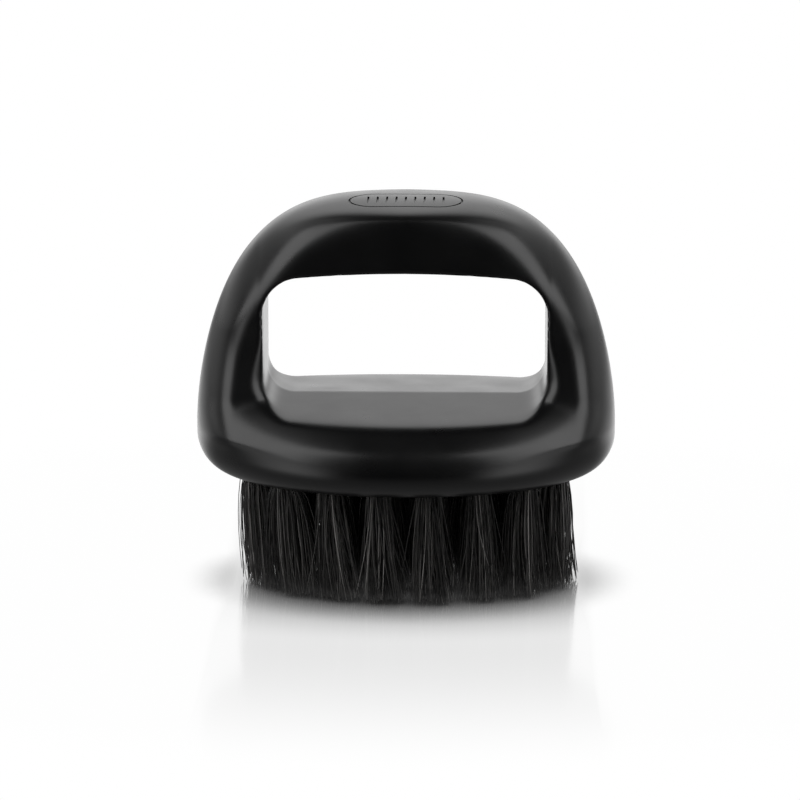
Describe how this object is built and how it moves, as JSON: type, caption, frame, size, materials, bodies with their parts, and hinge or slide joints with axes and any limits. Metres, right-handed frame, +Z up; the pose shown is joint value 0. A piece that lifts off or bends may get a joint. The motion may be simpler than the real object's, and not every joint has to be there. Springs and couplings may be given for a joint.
{
  "type": "fade brush",
  "caption": "Hand-held barber's fade brush: a moulded bow handle on an oval base that the fingers slip through, with trimmed bristle tufts anchored in an oval block underneath.",
  "frame": {"origin": "centre of the plane of the trimmed bristle tips, on the surface that the brush stands on", "axes": "+X along the long axis of the oval base and through both legs of the bow, +Y from the front face of the finger opening to the back, +Z up from the bristle tips to the crest of the bow"},
  "size_m": [0.09, 0.062, 0.0847],
  "materials": {
    "handle_plastic": "satin",
    "block_plastic": "matte",
    "bristle": "satin",
    "anchor_wire": "satin"
  },
  "bodies": {
    "root": {"handle": "handle_plastic", "bristle_block": "block_plastic", "outer_tuft_01": "bristle", "outer_anchor_01": "anchor_wire", "outer_tuft_02": "bristle", "outer_anchor_02": "anchor_wire", "outer_tuft_03": "bristle", "outer_anchor_03": "anchor_wire", "outer_tuft_04": "bristle", "outer_anchor_04": "anchor_wire", "outer_tuft_05": "bristle", "outer_anchor_05": "anchor_wire", "outer_tuft_06": "bristle", "outer_anchor_06": "anchor_wire", "outer_tuft_07": "bristle", "outer_anchor_07": "anchor_wire", "outer_tuft_08": "bristle", "outer_anchor_08": "anchor_wire", "outer_tuft_09": "bristle", "outer_anchor_09": "anchor_wire", "outer_tuft_10": "bristle", "outer_anchor_10": "anchor_wire", "outer_tuft_11": "bristle", "outer_anchor_11": "anchor_wire", "outer_tuft_12": "bristle", "outer_anchor_12": "anchor_wire", "outer_tuft_13": "bristle", "outer_anchor_13": "anchor_wire", "outer_tuft_14": "bristle", "outer_anchor_14": "anchor_wire", "outer_tuft_15": "bristle", "outer_anchor_15": "anchor_wire", "outer_tuft_16": "bristle", "outer_anchor_16": "anchor_wire", "middle_tuft_01": "bristle", "middle_anchor_01": "anchor_wire", "middle_tuft_02": "bristle", "middle_anchor_02": "anchor_wire", "middle_tuft_03": "bristle", "middle_anchor_03": "anchor_wire", "middle_tuft_04": "bristle", "middle_anchor_04": "anchor_wire", "middle_tuft_05": "bristle", "middle_anchor_05": "anchor_wire", "middle_tuft_06": "bristle", "middle_anchor_06": "anchor_wire", "middle_tuft_07": "bristle", "middle_anchor_07": "anchor_wire", "middle_tuft_08": "bristle", "middle_anchor_08": "anchor_wire", "middle_tuft_09": "bristle", "middle_anchor_09": "anchor_wire", "middle_tuft_10": "bristle", "middle_anchor_10": "anchor_wire", "inner_tuft_01": "bristle", "inner_anchor_01": "anchor_wire", "inner_tuft_02": "bristle", "inner_anchor_02": "anchor_wire", "inner_tuft_03": "bristle", "inner_anchor_03": "anchor_wire"}
  },
  "joints": []
}
